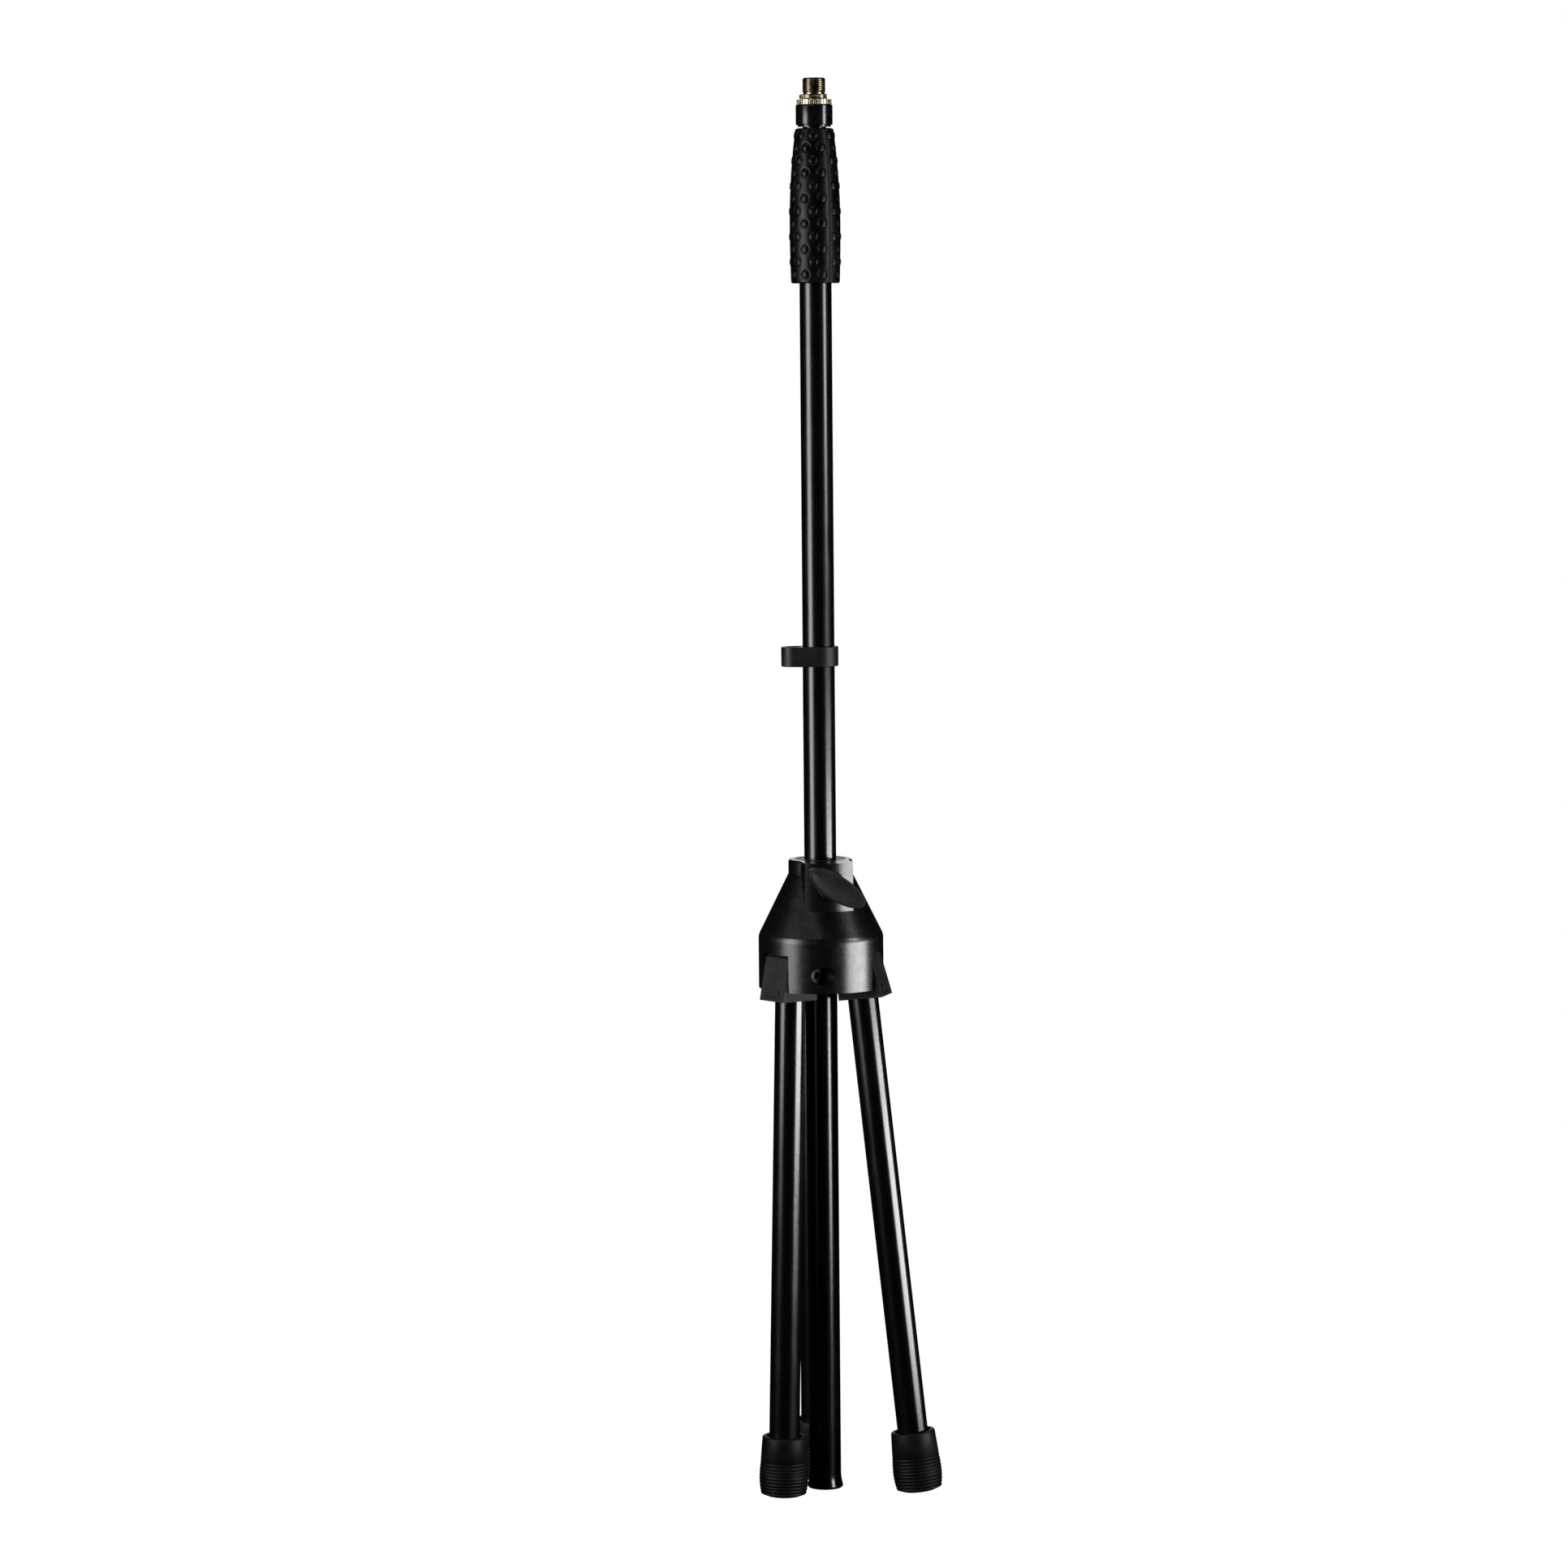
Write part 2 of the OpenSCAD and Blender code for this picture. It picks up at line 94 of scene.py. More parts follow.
def finish_material(name, colour, roughness, metallic=0.0, specular=0.5, coat=0.0):
    """Starts a material and returns it with its nodes, its links, its shader and its object coordinates."""
    material = bpy.data.materials.new(name)
    material.use_nodes = True
    nodes, links = material.node_tree.nodes, material.node_tree.links
    shader = nodes["Principled BSDF"]
    shader.inputs["Base Color"].default_value = (*colour, 1)
    shader.inputs["Roughness"].default_value = roughness
    shader.inputs["Metallic"].default_value = metallic
    shader.inputs["Specular IOR Level"].default_value = specular
    shader.inputs["Coat Weight"].default_value = coat
    place = nodes.new("ShaderNodeTexCoord")
    return material, nodes, links, shader, place.outputs["Object"]


def noise_at(nodes, links, place, scale, detail=3.0, stretch=(1, 1, 1)):
    """A noise pattern with its size in features per metre, stretched along the object's axes."""
    mapping = nodes.new("ShaderNodeMapping")
    mapping.inputs["Scale"].default_value = stretch
    noise = nodes.new("ShaderNodeTexNoise")
    noise.inputs["Scale"].default_value = scale
    noise.inputs["Detail"].default_value = detail
    links.new(place, mapping.inputs["Vector"])
    links.new(mapping.outputs["Vector"], noise.inputs["Vector"])
    return noise.outputs["Fac"]


def ramp_between(nodes, links, value, low, high, start=0.3, end=0.7):
    """Turns a pattern into a number that runs from low to high."""
    span = nodes.new("ShaderNodeMapRange")
    span.inputs["From Min"].default_value = start
    span.inputs["From Max"].default_value = end
    span.inputs["To Min"].default_value = low
    span.inputs["To Max"].default_value = high
    links.new(value, span.inputs["Value"])
    return span.outputs["Result"]


def two_tone(nodes, links, value, dark, light, start=0.35, end=0.65):
    """Turns a pattern into a colour between dark and light."""
    ramp = nodes.new("ShaderNodeValToRGB")
    ramp.color_ramp.elements[0].position = start
    ramp.color_ramp.elements[0].color = (*dark, 1)
    ramp.color_ramp.elements[1].position = end
    ramp.color_ramp.elements[1].color = (*light, 1)
    links.new(value, ramp.inputs["Fac"])
    return ramp.outputs["Color"]


def raised(nodes, links, shader, height, depth, strength=1.0, under=None):
    """Bumps the surface by a pattern that is depth metres high, over an earlier bump if there is one."""
    bump = nodes.new("ShaderNodeBump")
    bump.inputs["Strength"].default_value = strength
    bump.inputs["Distance"].default_value = depth
    links.new(height, bump.inputs["Height"])
    if under is not None:
        links.new(under, bump.inputs["Normal"])
    links.new(bump.outputs["Normal"], shader.inputs["Normal"])
    return bump.outputs["Normal"]


def satin_powder_coat():
    material, nodes, links, shader, place = finish_material("satin_powder_coat", (0.001, 0.001, 0.001), 0.27)
    grain = noise_at(nodes, links, place, 1300, 2)
    flow = noise_at(nodes, links, place, 200, 3)
    links.new(two_tone(nodes, links, grain, (0.0003, 0.0003, 0.0003), (0.002, 0.002, 0.002)),
              shader.inputs["Base Color"])
    links.new(ramp_between(nodes, links, flow, 0.25, 0.29), shader.inputs["Roughness"])
    low = raised(nodes, links, shader, flow, 0.00002)
    raised(nodes, links, shader, grain, 0.00005, under=low)
    return material


powder_coat = satin_powder_coat()
hub = softened_copy("hub_housing", "hub_casting", 0.5 * MM, angle=20)
hub.data.materials.clear()
hub.data.materials.append(powder_coat)
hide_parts("hub_housing")
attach(hub, "hub")


# ---------------------------------------------------------------- guide bush and pressure pad
# The mast slides in a plastic bush that is pressed into the hub's throat, and the clamp screw bears on it
# through a small plastic pad. Both are plain mouldings.

def moulded_plastic(name, colour, roughness, grain_scale, grain_depth, specular=0.4):
    """Injection-moulded plastic with a spark-eroded grain and slightly uneven sheen."""
    material, nodes, links, shader, place = finish_material(name, colour, roughness, specular=specular)
    grain = noise_at(nodes, links, place, grain_scale, 2)
    cloud = noise_at(nodes, links, place, 90, 4)
    darker, lighter = tuple(c * 0.82 for c in colour), tuple(c * 1.15 for c in colour)
    links.new(two_tone(nodes, links, cloud, darker, lighter), shader.inputs["Base Color"])
    links.new(ramp_between(nodes, links, cloud, roughness - 0.06, roughness + 0.06),
              shader.inputs["Roughness"])
    raised(nodes, links, shader, grain, grain_depth)
    return material


def set_material(piece, material):
    piece.data.materials.clear()
    piece.data.materials.append(material)


black_plastic = moulded_plastic("black_moulded_plastic", (0.016, 0.016, 0.017), 0.5, 2200, 0.00004)
natural_plastic = moulded_plastic("natural_moulded_plastic", (0.52, 0.51, 0.47), 0.45, 1500, 0.00002)
set_material(frame["nodes"]["guide_bush"], black_plastic)
set_material(frame["nodes"]["pressure_pad"], natural_plastic)


# ---------------------------------------------------------------- pivot screws and nuts
# Each leg turns on a blackened socket screw that goes in through a hole in the skirt, with its zinc-plated
# nut in a pocket that is open at the skirt's lower edge.

def zinc_plate():
    material, nodes, links, shader, place = finish_material("zinc_plate", (0.42, 0.42, 0.43), 0.36,
                                                            metallic=1.0)
    turned = noise_at(nodes, links, place, 900, 3, stretch=(1, 1, 6))
    cloud = noise_at(nodes, links, place, 160, 4)
    links.new(two_tone(nodes, links, cloud, (0.34, 0.34, 0.36), (0.5, 0.5, 0.49)),
              shader.inputs["Base Color"])
    links.new(ramp_between(nodes, links, cloud, 0.28, 0.44), shader.inputs["Roughness"])
    raised(nodes, links, shader, turned, 0.00002)
    return material


def black_oxide():
    material, nodes, links, shader, place = finish_material("black_oxide_steel", (0.03, 0.03, 0.03), 0.42,
                                                            metallic=1.0)
    cloud = noise_at(nodes, links, place, 300, 4)
    links.new(two_tone(nodes, links, cloud, (0.018, 0.018, 0.02), (0.05, 0.048, 0.046)),
              shader.inputs["Base Color"])
    links.new(ramp_between(nodes, links, cloud, 0.36, 0.5), shader.inputs["Roughness"])
    raised(nodes, links, shader, cloud, 0.00002)
    return material


zinc = zinc_plate()
set_material(frame["nodes"]["pivot_nuts"], zinc)
set_material(frame["nodes"]["pivot_screws"], black_oxide())


# ---------------------------------------------------------------- hinge blocks
# Two dark-grey plastic halves hold the top of each leg tube and turn on the pivot screw. The outer half has
# a raised parting line down its face, and a small snap-in plate near its lower edge.

def leg_place(side):
    """A leg's own frame: origin at its pivot, the leg along -Z, outwards along -Y."""
    joint = joints["leg_%s_fold" % side]
    pivot = Vector(joint["pos_m"])
    round_mast = math.atan2(pivot.x, -pivot.y)
    splay = math.radians(spread_closed - joint["range_deg"][0])
    return Matrix.Translation(pivot) @ Matrix.Rotation(round_mast, 4, "Z") @ Matrix.Rotation(-splay, 4, "X")


def box_mesh(bm, low, high):
    """Adds a box between two corners."""
    middle = (Vector(low) + Vector(high)) / 2
    size = Vector(high) - Vector(low)
    bmesh.ops.create_cube(bm, size=1, matrix=Matrix.Translation(middle) @ Matrix.Diagonal((*size, 1)))


spread_closed = 0.4          # degrees from vertical, where a folded leg stops
ridge_w = 0.35 * MM
ridge_h = 0.16 * MM
face_top = Vector((0, -13.1, 10.5)) * MM          # upper and lower end of the outer half's face
face_low = Vector((0, -18.5, -19.0)) * MM
ridge_from = 0.03            # the parting line's start and length, as shares of the face
ridge_share = 0.62
plate_w = 13.4 * MM
plate_h = 5.2 * MM
plate_y = -17.9 * MM         # the plate's outer face, just inside the block's
plate_z = -13.6 * MM
plate_thick = 1.2 * MM
plate_round = 0.25 * MM
sides = ("left", "right", "back")

dark_plastic = moulded_plastic("dark_grey_plastic", (0.012, 0.012, 0.0125), 0.5, 1300, 0.00016,
                               specular=0.13)
for side in sides:
    place = leg_place(side)
    for half in ("outer", "inner"):
        node = "block_%s_%s" % (half, side)
        block = softened_copy(node, "hinge_" + node, 0.45 * MM)
        set_material(block, dark_plastic)
        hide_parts(node)
        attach(block, "leg_" + side)
    face = face_low - face_top
    start = face_top + face * ridge_from
    slope = Matrix.Rotation(-math.atan2(-face.y, -face.z), 4, "X")
    bm = bmesh.new()
    box_mesh(bm, (-ridge_w / 2, -ridge_h, -face.length * ridge_share), (ridge_w / 2, ridge_h, 0))
    bm.transform(place @ Matrix.Translation(start) @ slope)
    mesh = bpy.data.meshes.new("parting_line_" + side)
    bm.to_mesh(mesh)
    bm.free()
    ridge = new_piece("parting_line_" + side, mesh)
    set_material(ridge, dark_plastic)
    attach(ridge, "leg_" + side)
    bm = bmesh.new()
    box_mesh(bm, (-plate_w / 2, plate_y, plate_z - plate_h / 2),
             (plate_w / 2, plate_y + plate_thick, plate_z + plate_h / 2))
    bmesh.ops.bevel(bm, geom=bm.edges, offset=plate_round, segments=2, affect="EDGES")
    bm.transform(place)
    mesh = bpy.data.meshes.new("snap_in_plate_" + side)
    bm.to_mesh(mesh)
    bm.free()
    smooth_shaded(mesh, 40)
    plate_piece = new_piece("snap_in_plate_" + side, mesh)
    set_material(plate_piece, dark_plastic)
    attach(plate_piece, "leg_" + side)


# ---------------------------------------------------------------- leg tubes
# Steel tube with a satin-gloss black powder coat. The coat has a fine grain that breaks up the edges of the
# highlights, and each tube's end runs down inside the rubber foot.

def lathe(name, outline, steps=128, place=None):
    """Turns an outline of (radius, height) points round Z. A closed outline makes a ring."""
    bm = bmesh.new()
    rings = []
    for radius, height in outline:
        rings.append([bm.verts.new((radius * math.sin(2 * math.pi * i / steps),
                                    -radius * math.cos(2 * math.pi * i / steps), height))
                      for i in range(steps)])
    for k in range(len(rings)):
        ring, above = rings[k], rings[(k + 1) % len(rings)]
        for i in range(steps):
            j = (i + 1) % steps
            bm.faces.new((ring[i], ring[j], above[j], above[i]))
    bmesh.ops.recalc_face_normals(bm, faces=bm.faces)
    if place is not None:
        bm.transform(place)
    mesh = bpy.data.meshes.new(name)
    bm.to_mesh(mesh)
    bm.free()
    smooth_shaded(mesh, 35)
    return new_piece(name, mesh)


def tube_paint():
    material, nodes, links, shader, place = finish_material("tube_powder_coat",
                                                            (0.0005, 0.0005, 0.0005), 0.19)
    grain = noise_at(nodes, links, place, 1900, 2)
    flow = noise_at(nodes, links, place, 320, 3)
    along = noise_at(nodes, links, place, 30, 4, stretch=(6, 6, 1))
    links.new(two_tone(nodes, links, grain, (0.0002, 0.0002, 0.0002), (0.001, 0.001, 0.001)),
              shader.inputs["Base Color"])
    links.new(ramp_between(nodes, links, along, 0.17, 0.22), shader.inputs["Roughness"])
    low = raised(nodes, links, shader, flow, 0.00003)
    raised(nodes, links, shader, grain, 0.00002, under=low)
    return material


leg_r = 10.5 * MM
leg_off = 1.0 * MM           # the tube's axis lies this far outside its pivot
leg_wall = 1.2 * MM
leg_high = -8.0 * MM         # the upper end is out of sight between the block's halves
leg_len = 363.1 * MM         # from the pivot to the sole
leg_low = 10.0 * MM - leg_len
tube_coat = tube_paint()
for side in sides:
    tube = lathe("tube_" + side, [(leg_r, leg_low), (leg_r, leg_high), (leg_r - leg_wall, leg_high),
                                  (leg_r - leg_wall, leg_low)],
                 place=leg_place(side) @ Matrix.Translation((0, -leg_off, 0)))
    set_material(tube, tube_coat)
    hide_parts("leg_tube_" + side)
    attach(tube, "leg_" + side)


# ---------------------------------------------------------------- rubber feet
# Moulded black rubber: a thick rim that stands a little clear of the tube, a smooth cone, and ten half-round
# ribs round a barrel that draws in to a flat sole.

def rubber(name, colour, roughness, specular):
    material, nodes, links, shader, place = finish_material(name, colour, roughness, specular=specular)
    grain = noise_at(nodes, links, place, 1500, 4)
    bloom = noise_at(nodes, links, place, 70, 5)
    darker, lighter = tuple(c * 0.75 for c in colour), tuple(c * 1.5 for c in colour)
    links.new(two_tone(nodes, links, bloom, darker, lighter), shader.inputs["Base Color"])
    links.new(ramp_between(nodes, links, bloom, roughness - 0.08, roughness + 0.08),
              shader.inputs["Roughness"])
    raised(nodes, links, shader, grain, 0.00006)
    return material


def foot_outline():
    """Outline of the foot from its sole up, in metres: height 0 is the sole."""
    sole_r, cone_r, rim_r, widest = 12.5, 16.2, 15.2, 17.0
    rib_low, rib_middle, cone_low, top = 1.2, 12.5, 24.0, 41.5
    ribs, rib_deep, rib_steps = 10, 0.55, 6
    rim, bore_r, bore_low, centre = 1.3, 10.55, 10.2, 0.01
    points = [(centre, 0), (sole_r - 0.6, 0), (sole_r, 0.3)]
    pitch = (cone_low - rib_low) / ribs
    for rib in range(ribs):
        height = rib_low + (rib + 0.5) * pitch
        bulge = ((height - rib_middle) / (cone_low - rib_middle)) ** 2
        draw_in = 1.9 if height < rib_middle else 1
        body = widest - rib_deep - (widest - cone_r) * bulge * draw_in
        for step in range(rib_steps + 1):
            turn = math.pi * (step / rib_steps - 0.5)
            points.append((body + rib_deep * math.cos(turn), height + 0.44 * pitch * math.sin(turn)))
    points += [(cone_r - 0.25, cone_low), (cone_r, cone_low + 0.5), (rim_r + 0.05, top - rim)]
    points += [(rim_r - rim + rim * math.cos(t * math.pi / 8), top - rim + rim * math.sin(t * math.pi / 8))
               for t in range(1, 4)]
    points += [(rim_r - rim, top), (12.6, top - 0.2), (12.1, top - 0.9), (12.0, top - 2.2),
               (bore_r, top - 2.4), (bore_r, bore_low), (centre, bore_low)]
    return [(radius * MM, height * MM) for radius, height in points]


foot_rubber = rubber("foot_rubber", (0.0015, 0.0015, 0.0015), 0.5, 0.1)
for side in sides:
    foot = lathe("rubber_foot_" + side, foot_outline(), steps=96,
                 place=leg_place(side) @ Matrix.Translation((0, -leg_off, -leg_len)))
    set_material(foot, foot_rubber)
    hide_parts("foot_" + side)
    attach(foot, "leg_" + side)


# ---------------------------------------------------------------- mast tube and plug
# A long steel tube in the same coat as the legs. Its lower end is flared and rolled over, so that it can't
# be pulled up through the hub, and a plastic plug closes it.

mast_r = 11.0 * MM
mast_wall = 1.2 * MM
mast_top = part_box("mast_tube")[1].z
flare_r = (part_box("mast_tube")[1].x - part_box("mast_tube")[0].x) / 2
flare = [(flare_r - 1.6 * MM, 0), (flare_r - 0.6 * MM, 0.15 * MM), (flare_r - 0.15 * MM, 0.6 * MM),
         (flare_r, 1.3 * MM), (flare_r - 0.1 * MM, 2.2 * MM), (flare_r - 0.5 * MM, 3.8 * MM),
         (flare_r - 0.95 * MM, 6 * MM), (mast_r + 0.1 * MM, 8.4 * MM), (mast_r, 10.5 * MM)]
outline = flare + [(mast_r, mast_top), (mast_r - mast_wall, mast_top), (mast_r - mast_wall, 0.6 * MM)]
mast = lathe("mast", outline)
set_material(mast, tube_coat)
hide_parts("mast_tube")
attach(mast, "mast")
set_material(frame["nodes"]["mast_plug"], black_plastic)


# ---------------------------------------------------------------- clutch body and collet
# A plastic sleeve is fixed over the top of the mast, and a slit collet above it closes on the rod when the
# grip is turned. Both are hidden inside the grip.

for inner_part in ("clutch_body", "collet"):
    set_material(frame["nodes"][inner_part], natural_plastic)


# ---------------------------------------------------------------- grip
# A rigid plastic core carries a soft black rubber barrel. The rubber is moulded in two halves with round
# nubs, each in a shallow dish, in columns whose rows are staggered. Two smooth strips hold the seams.

def grip_radius(height):
    """The barrel's outer radius at a height: two shallow arcs that meet at the widest place."""
    end_r, end_z = (grip_top_r, grip_top) if height > grip_waist else (grip_bottom_r, grip_bottom)
    return grip_r - (grip_r - end_r) * ((height - grip_waist) / (end_z - grip_waist)) ** 2


def nub_height(distance):
    """Height of the rubber at a distance from a nub's centre: a dome in a dish that fades out."""
    if distance < nub_r:
        return -dish_deep + nub_tall * math.sqrt(max(0.0, 1 - (distance / nub_r) ** 2))
    if distance < dish_r:
        across = (distance - nub_r) / (dish_r - nub_r)
        return -dish_deep * (1 - across * across * (3 - 2 * across))
    return 0.0


grip_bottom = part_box("grip_rubber")[0].z
grip_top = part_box("grip_rubber")[1].z
grip_r = (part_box("grip_rubber")[1].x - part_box("grip_rubber")[0].x) / 2
grip_top_r = 12.95 * MM
grip_bottom_r = 16.6 * MM
grip_waist = 872 * MM
nub_r = 2.9 * MM
nub_tall = 0.85 * MM
dish_r = 3.7 * MM
dish_deep = 0.35 * MM
nub_pitch = 17.15 * MM
nub_rows = 6                                 # in each column
seam_w = 0.6 * MM
seam_h = 0.18 * MM
first_nub = {0: 4.5 * MM, 1: 13.0 * MM}      # below the grip's top, for the two kinds of column
nub_columns = 8                              # in each half
column_step = 20.43                          # degrees
first_column = 18.5                          # degrees from a parting line
seam_at = 23.0                               # degrees from -Y towards +X, to one parting line
columns = []
for half in (0, 180):
    for k in range(nub_columns):
        columns.append((math.radians(seam_at + half + first_column + column_step * k), k % 2))

grip_round = 288
grip_rows = 260
rubber_thick = 2.0 * MM
edge_round = 1.0 * MM
bm = bmesh.new()
grid = []
for row in range(grip_rows + 1):
    z = grip_bottom + (grip_top - grip_bottom) * row / grip_rows
    ring = []
    from_edge = min(z - grip_bottom, grip_top - z)
    rounded = 0.0
    if from_edge < edge_round:
        rounded = edge_round - math.sqrt(edge_round ** 2 - (edge_round - from_edge) ** 2)
    body_r = grip_radius(z)
    for i in range(grip_round):
        turn = 2 * math.pi * i / grip_round
        lift = 0.0
        for column, kind in columns:
            across = (turn - column + math.pi) % (2 * math.pi) - math.pi
            if abs(across) * body_r > dish_r:
                continue
            below = grip_top - z - first_nub[kind]
            nearest = min(max(round(below / nub_pitch), 0), nub_rows - 1) * nub_pitch
            lift += nub_height(math.hypot(across * body_r, below - nearest))
        for half in (0, 180):
            across = (turn - math.radians(seam_at + half) + math.pi) % (2 * math.pi) - math.pi
            if abs(across) * body_r < seam_w / 2:
                lift += seam_h
        radius = body_r + lift - rounded
        ring.append(bm.verts.new((radius * math.sin(turn), -radius * math.cos(turn), z)))
    grid.append(ring)
inner = [[bm.verts.new(((grip_radius(z) - rubber_thick) * math.sin(2 * math.pi * i / grip_round),
                        -(grip_radius(z) - rubber_thick) * math.cos(2 * math.pi * i / grip_round), z))
          for i in range(grip_round)] for z in (grip_bottom, grip_top)]
for ring, above in list(zip(grid, grid[1:])) + [(grid[-1], inner[1]), (inner[0], grid[0])]:
    for i in range(grip_round):
        j = (i + 1) % grip_round
        bm.faces.new((ring[i], ring[j], above[j], above[i]))
bmesh.ops.recalc_face_normals(bm, faces=bm.faces)
mesh = bpy.data.meshes.new("grip_cover")
bm.to_mesh(mesh)
bm.free()
smooth_shaded(mesh, 60)
grip = new_piece("grip_cover", mesh)
grip_rubber = rubber("grip_rubber_black", (0.001, 0.001, 0.001), 0.32, 0.14)
set_material(grip, grip_rubber)
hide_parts("grip_rubber")
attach(grip, "grip")
set_material(frame["nodes"]["grip_core"], black_plastic)


# ---------------------------------------------------------------- inner rod
# The rod that slides out of the mast: a slimmer steel tube in gloss black, with a plastic glide on its lower
# end and the steel stud pressed into its top.

def gloss_paint():
    material, nodes, links, shader, place = finish_material("rod_gloss_paint", (0.008, 0.008, 0.009), 0.2)
    flow = noise_at(nodes, links, place, 420, 3)
    rubbed = noise_at(nodes, links, place, 60, 5, stretch=(8, 8, 1))
    links.new(two_tone(nodes, links, rubbed, (0.007, 0.007, 0.008), (0.013, 0.013, 0.014)),
              shader.inputs["Base Color"])
    links.new(ramp_between(nodes, links, rubbed, 0.16, 0.26), shader.inputs["Roughness"])
    raised(nodes, links, shader, flow, 0.00002)
    return material


rod_paint = gloss_paint()
rod_low, rod_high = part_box("inner_rod")
rod_r = (rod_high.x - rod_low.x) / 2
rod = lathe("rod", [(rod_r, rod_low.z), (rod_r, rod_high.z), (rod_r - mast_wall, rod_high.z),
                    (rod_r - mast_wall, rod_low.z)], steps=96)
set_material(rod, rod_paint)
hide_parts("inner_rod")
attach(rod, "rod")
set_material(frame["nodes"]["rod_glide"], natural_plastic)
set_material(frame["nodes"]["head_stud"], zinc)


# ---------------------------------------------------------------- head sleeve
# A gloss black plastic sleeve covers the rod's head. It has a narrow step at its lower edge and a soft
# radius at its upper one.

def gloss_plastic():
    material, nodes, links, shader, place = finish_material("gloss_black_plastic",
                                                            (0.002, 0.002, 0.002), 0.17)
    flow = noise_at(nodes, links, place, 240, 3)
    fine = noise_at(nodes, links, place, 1800, 2)
    links.new(two_tone(nodes, links, flow, (0.001, 0.001, 0.001), (0.003, 0.003, 0.003)),
              shader.inputs["Base Color"])
    links.new(ramp_between(nodes, links, fine, 0.13, 0.22), shader.inputs["Roughness"])
    raised(nodes, links, shader, flow, 0.00003)
    return material


sleeve_low, sleeve_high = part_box("head_sleeve")
sleeve_r = (sleeve_high.x - sleeve_low.x) / 2
step_r = sleeve_r - 1.2 * MM
edge = 0.8 * MM
bore_r = rod_r + 0.03 * MM
outline = [(step_r, sleeve_low.z), (step_r, sleeve_low.z + 1.1 * MM),
           (sleeve_r - 0.3 * MM, sleeve_low.z + 1.3 * MM), (sleeve_r, sleeve_low.z + 1.7 * MM)]
outline += [(sleeve_r - edge + edge * math.cos(t * math.pi / 8),
             sleeve_high.z - edge + edge * math.sin(t * math.pi / 8)) for t in range(5)]
outline += [(bore_r, sleeve_high.z), (bore_r, sleeve_low.z)]
sleeve = lathe("sleeve", outline)
set_material(sleeve, gloss_plastic())
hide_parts("head_sleeve")
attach(sleeve, "rod")


# ---------------------------------------------------------------- serrated ring
# A plated steel ring under the adapter, with coarse straight teeth that bite when the adapter is screwed
# down. It is stamped, so its edges are slightly rolled.

def yellowish_plate(name, dark, light):
    material, nodes, links, shader, place = finish_material(name, light, 0.24, metallic=1.0)
    stain = noise_at(nodes, links, place, 230, 5)
    fine = noise_at(nodes, links, place, 2500, 2)
    links.new(two_tone(nodes, links, stain, dark, light), shader.inputs["Base Color"])
    links.new(ramp_between(nodes, links, stain, 0.17, 0.3), shader.inputs["Roughness"])
    raised(nodes, links, shader, fine, 0.00001)
    return material


plate = yellowish_plate("yellowish_plate", (0.4, 0.35, 0.23), (0.58, 0.54, 0.4))
ring = softened_copy("serrated_ring", "toothed_ring", 0.2 * MM, merge=0.00001)
set_material(ring, plate)
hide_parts("serrated_ring")
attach(ring, "rod")


# ---------------------------------------------------------------- thread adapter
# Turned and plated steel: a knurled flange for the fingers and the long fine-pitched microphone thread, with
# a chamfer at its top and a plain hole down its middle for the stud.

adapter_low, adapter_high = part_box("thread_adapter")
thread_r = 7.9375 * MM
thread_pitch = 25.4 / 27 * MM
thread_deep = 0.55 * MM
flange_r = (adapter_high.x - adapter_low.x) / 2
flange_top = adapter_low.z + 3.0 * MM
hole_r = 4.81 * MM
thread_low = adapter_high.z - 9.9 * MM
core_r = thread_r - thread_deep
chamfer = 0.9 * MM
flat_share = 1.9             # steepness of the thread's flanks, which leaves a small flat on its crest
edge = 0.4 * MM
steps_round = 96
thread_rows = 150


def ring_of(bm, height, radius_at):
    """A ring of points round Z at a height, where radius_at gives the radius at each step."""
    return [bm.verts.new((radius_at(i) * math.sin(2 * math.pi * i / steps_round),
                          -radius_at(i) * math.cos(2 * math.pi * i / steps_round), height))
            for i in range(steps_round)]


def thread_radius(height, step):
    """The thread's radius: it runs in from its root at the bottom and ends in a chamfer at the top."""
    limit = thread_r - max(0.0, chamfer - (adapter_high.z - height))
    run_in = min(1.0, (height - thread_low) / (0.8 * thread_pitch))
    phase = (height / thread_pitch - step / steps_round) % 1
    crest = max(0.0, min(1.0, flat_share - abs(phase - 0.5) * 2 * flat_share))
    return min(core_r + thread_deep * crest * run_in, limit)


bm = bmesh.new()
rings = [ring_of(bm, height, lambda i: radius) for radius, height in (
    (hole_r, adapter_low.z), (flange_r - edge, adapter_low.z), (flange_r, adapter_low.z + edge),
    (flange_r, flange_top - edge), (flange_r - edge, flange_top), (core_r, flange_top + 0.02 * MM),
    (core_r, thread_low))]
for row in range(1, thread_rows + 1):
    height = thread_low + (adapter_high.z - thread_low) * row / thread_rows
    rings.append(ring_of(bm, height, lambda i: thread_radius(height, i)))
rings.append(ring_of(bm, adapter_high.z, lambda i: hole_r))
for k in range(len(rings)):
    ring_here, ring_above = rings[k], rings[(k + 1) % len(rings)]
    for i in range(steps_round):
        j = (i + 1) % steps_round
        bm.faces.new((ring_here[i], ring_here[j], ring_above[j], ring_above[i]))
bmesh.ops.recalc_face_normals(bm, faces=bm.faces)
mesh = bpy.data.meshes.new("microphone_thread")
bm.to_mesh(mesh)
bm.free()
smooth_shaded(mesh, 40)
adapter = new_piece("microphone_thread", mesh)
# The adapter's body and thread take a much darker copy of the plating than its knurl and the toothed ring.
# This is painted shade, so that the thread reflects less of the lamps.
set_material(adapter, yellowish_plate("plate_darkened_painted_shade", (0.12, 0.095, 0.06), (0.24, 0.2, 0.14)))
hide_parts("thread_adapter")
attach(adapter, "adapter")


# ---------------------------------------------------------------- knurl on the adapter's flange
# The flange is rolled with fine slanting ridges for the fingers. They are part of the plated adapter.

